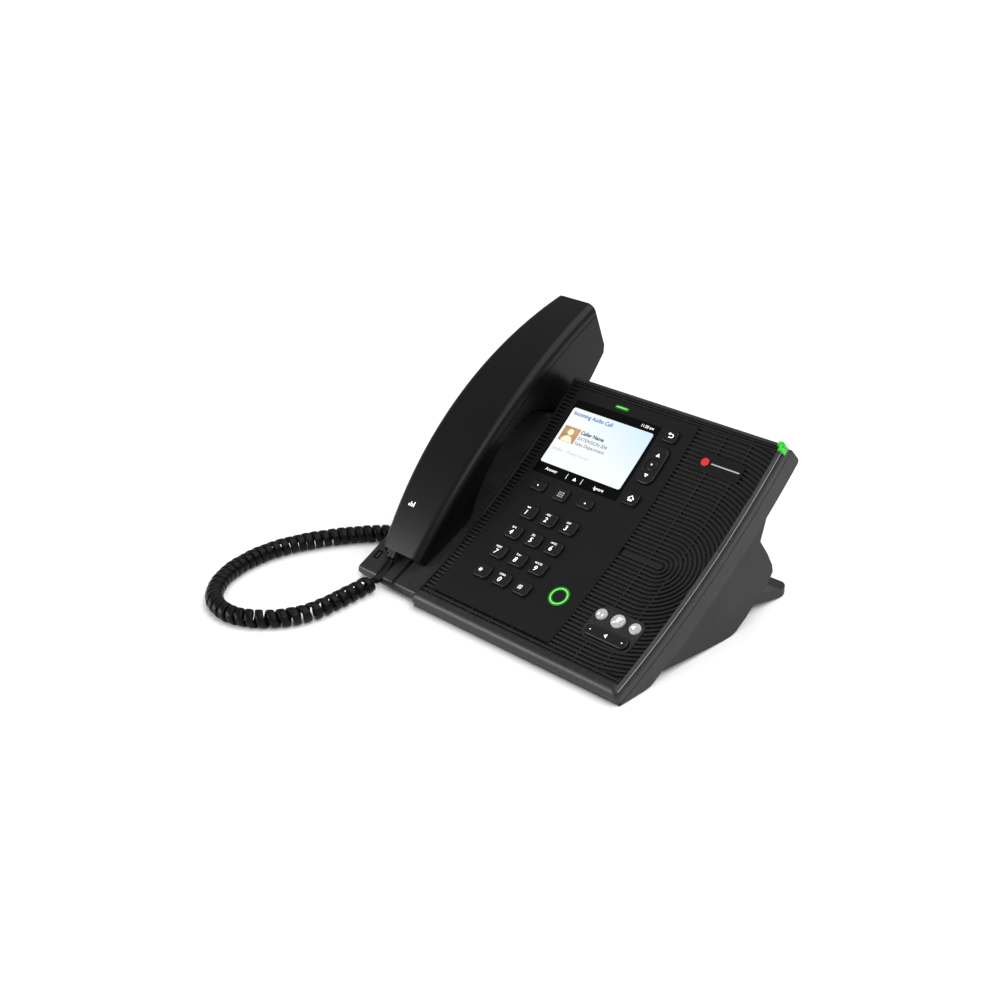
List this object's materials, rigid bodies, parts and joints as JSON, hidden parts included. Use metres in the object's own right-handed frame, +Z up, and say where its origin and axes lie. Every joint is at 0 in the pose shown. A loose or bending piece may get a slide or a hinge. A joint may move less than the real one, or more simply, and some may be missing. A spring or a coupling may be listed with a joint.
{
  "type": "desk ip phone",
  "caption": "Desk IP telephone with a curved key face, colour display, side wing cradle, handset on a curly cord and a tilted stand.",
  "frame": {"origin": "on the desk under the middle of the telephone's box, cord and plugs left out", "axes": "+X to the user's right, +Y to the back, +Z up"},
  "size_m": [0.3063, 0.3061, 0.1613],
  "materials": {
    "housing": "fine spark-eroded texture, charcoal black",
    "panel": "smooth satin black",
    "handset_shell": "fine texture, charcoal black",
    "keycap": "satin black with pale printed legends",
    "round_key": "satin dark grey with a lit disc",
    "badge": "satin black",
    "window": "clear, hard-coated",
    "lcd": "lit colour display",
    "lamp_green": "translucent green",
    "ring_lens": "dark lens with a lit green ring",
    "membrane": "moulded silicone",
    "board": "solder mask green",
    "speaker_metal": "pressed steel",
    "screw_steel": "black zinc plated",
    "socket": "moulded black",
    "foot_rubber": "soft grey-black",
    "weight_iron": "as cast",
    "plug_clear": "clear moulded",
    "cord_jacket": "satin black flexible jacket"
  },
  "bodies": {
    "phone": {"top_housing": "housing", "bottom_housing": "housing", "desk_stand": "housing", "rear_foot": "housing", "handset_cradle": "housing", "face_grille": "housing", "volume_pad": "housing", "retention_tab": "housing", "front_panel": "panel", "badge_plate": "badge", "display_window": "window", "lcd_module": "lcd", "message_lamp": "lamp_green", "status_light_bar": "lamp_green", "status_ring_lens": "ring_lens", "keypad_membrane": "membrane", "main_board": "board", "loudspeaker": "speaker_metal", "handsfree_mic": "speaker_metal", "case_screws": "screw_steel", "network_jacks": "socket", "line_jacks": "socket", "hook_switch": "socket", "rubber_feet": "foot_rubber", "base_plug": "plug_clear", "cord_coil": "cord_jacket", "cord_lead_handset": "cord_jacket", "cord_lead_base": "cord_jacket"},
    "handset": {"handset_back": "handset_shell", "handset_face": "handset_shell", "ear_receiver": "speaker_metal", "mouth_microphone": "speaker_metal", "handset_weight": "weight_iron", "handset_jack": "socket", "handset_plug": "plug_clear"},
    "key_1": {"key_1": "keycap"},
    "key_2": {"key_2": "keycap"},
    "key_3": {"key_3": "keycap"},
    "key_4": {"key_4": "keycap"},
    "key_5": {"key_5": "keycap"},
    "key_6": {"key_6": "keycap"},
    "key_7": {"key_7": "keycap"},
    "key_8": {"key_8": "keycap"},
    "key_9": {"key_9": "keycap"},
    "key_star": {"key_star": "keycap"},
    "key_0": {"key_0": "keycap"},
    "key_hash": {"key_hash": "keycap"},
    "softkey_left": {"softkey_left": "keycap"},
    "menu_key": {"menu_key": "keycap"},
    "softkey_right": {"softkey_right": "keycap"},
    "back_key": {"back_key": "keycap"},
    "home_key": {"home_key": "keycap"},
    "headset_button": {"headset_button": "round_key"},
    "mute_button": {"mute_button": "round_key"},
    "speaker_button": {"speaker_button": "round_key"},
    "select_button": {"select_button": "keycap"},
    "nav_rocker": {"nav_rocker": "keycap"},
    "volume_rocker": {"volume_rocker": "keycap"},
    "hook_plunger": {"hook_plunger": "socket"}
  },
  "joints": [
    {"name": "key_1_press", "type": "slide", "parent": "phone", "child": "key_1", "axis": [0, 0.5563, -0.831], "range_m": [0, 0.0012], "stiffness_N_per_m": 400, "springref_m": -0.001},
    {"name": "key_2_press", "type": "slide", "parent": "phone", "child": "key_2", "axis": [0, 0.5563, -0.831], "range_m": [0, 0.0012], "stiffness_N_per_m": 400, "springref_m": -0.001},
    {"name": "key_3_press", "type": "slide", "parent": "phone", "child": "key_3", "axis": [0, 0.5563, -0.831], "range_m": [0, 0.0012], "stiffness_N_per_m": 400, "springref_m": -0.001},
    {"name": "key_4_press", "type": "slide", "parent": "phone", "child": "key_4", "axis": [0, 0.5321, -0.8467], "range_m": [0, 0.0012], "stiffness_N_per_m": 400, "springref_m": -0.001},
    {"name": "key_5_press", "type": "slide", "parent": "phone", "child": "key_5", "axis": [0, 0.5321, -0.8467], "range_m": [0, 0.0012], "stiffness_N_per_m": 400, "springref_m": -0.001},
    {"name": "key_6_press", "type": "slide", "parent": "phone", "child": "key_6", "axis": [0, 0.5321, -0.8467], "range_m": [0, 0.0012], "stiffness_N_per_m": 400, "springref_m": -0.001},
    {"name": "key_7_press", "type": "slide", "parent": "phone", "child": "key_7", "axis": [0, 0.5076, -0.8616], "range_m": [0, 0.0012], "stiffness_N_per_m": 400, "springref_m": -0.001},
    {"name": "key_8_press", "type": "slide", "parent": "phone", "child": "key_8", "axis": [0, 0.5076, -0.8616], "range_m": [0, 0.0012], "stiffness_N_per_m": 400, "springref_m": -0.001},
    {"name": "key_9_press", "type": "slide", "parent": "phone", "child": "key_9", "axis": [0, 0.5076, -0.8616], "range_m": [0, 0.0012], "stiffness_N_per_m": 400, "springref_m": -0.001},
    {"name": "key_star_press", "type": "slide", "parent": "phone", "child": "key_star", "axis": [0, 0.4825, -0.8759], "range_m": [0, 0.0012], "stiffness_N_per_m": 400, "springref_m": -0.001},
    {"name": "key_0_press", "type": "slide", "parent": "phone", "child": "key_0", "axis": [0, 0.4825, -0.8759], "range_m": [0, 0.0012], "stiffness_N_per_m": 400, "springref_m": -0.001},
    {"name": "key_hash_press", "type": "slide", "parent": "phone", "child": "key_hash", "axis": [0, 0.4825, -0.8759], "range_m": [0, 0.0012], "stiffness_N_per_m": 400, "springref_m": -0.001},
    {"name": "softkey_left_press", "type": "slide", "parent": "phone", "child": "softkey_left", "axis": [0, 0.584, -0.8117], "range_m": [0, 0.0012], "stiffness_N_per_m": 400, "springref_m": -0.001},
    {"name": "menu_key_press", "type": "slide", "parent": "phone", "child": "menu_key", "axis": [0, 0.5837, -0.8119], "range_m": [0, 0.0012], "stiffness_N_per_m": 400, "springref_m": -0.001},
    {"name": "softkey_right_press", "type": "slide", "parent": "phone", "child": "softkey_right", "axis": [0, 0.584, -0.8117], "range_m": [0, 0.0012], "stiffness_N_per_m": 400, "springref_m": -0.001},
    {"name": "back_key_press", "type": "slide", "parent": "phone", "child": "back_key", "axis": [0, 0.6683, -0.7439], "range_m": [0, 0.0012], "stiffness_N_per_m": 400, "springref_m": -0.001},
    {"name": "home_key_press", "type": "slide", "parent": "phone", "child": "home_key", "axis": [0, 0.6038, -0.7972], "range_m": [0, 0.0012], "stiffness_N_per_m": 400, "springref_m": -0.001},
    {"name": "headset_button_press", "type": "slide", "parent": "phone", "child": "headset_button", "axis": [0, 0.4922, -0.8705], "range_m": [0, 0.0012], "stiffness_N_per_m": 400, "springref_m": -0.001},
    {"name": "mute_button_press", "type": "slide", "parent": "phone", "child": "mute_button", "axis": [0, 0.4922, -0.8705], "range_m": [0, 0.0012], "stiffness_N_per_m": 400, "springref_m": -0.001},
    {"name": "speaker_button_press", "type": "slide", "parent": "phone", "child": "speaker_button", "axis": [0, 0.4922, -0.8705], "range_m": [0, 0.0012], "stiffness_N_per_m": 400, "springref_m": -0.001},
    {"name": "select_button_press", "type": "slide", "parent": "phone", "child": "select_button", "axis": [0, 0.6392, -0.7691], "range_m": [0, 0.0012], "stiffness_N_per_m": 400, "springref_m": -0.001},
    {"name": "nav_rock", "type": "hinge", "parent": "phone", "child": "nav_rocker", "pos_m": [0.0384, 0.02584, 0.09106], "axis": [1, 0, 0], "range_deg": [-3, 3], "stiffness_Nm_per_rad": 0.23},
    {"name": "volume_rock", "type": "hinge", "parent": "phone", "child": "volume_rocker", "pos_m": [0.0854, -0.07423, 0.02358], "axis": [0, 0.8808, 0.4734], "range_deg": [-2.5, 2.5], "stiffness_Nm_per_rad": 0.3},
    {"name": "handset_lift", "type": "slide", "parent": "phone", "child": "handset", "axis": [0, -0.5736, 0.8192], "range_m": [0, 0.06]},
    {"name": "hook_rise", "type": "slide", "parent": "phone", "child": "hook_plunger", "axis": [0, -0.6866, 0.727], "range_m": [0, 0.003]}
  ],
  "couplings": [
    {"joint": "hook_rise", "follows": "handset_lift", "ratio": 0.05}
  ]
}
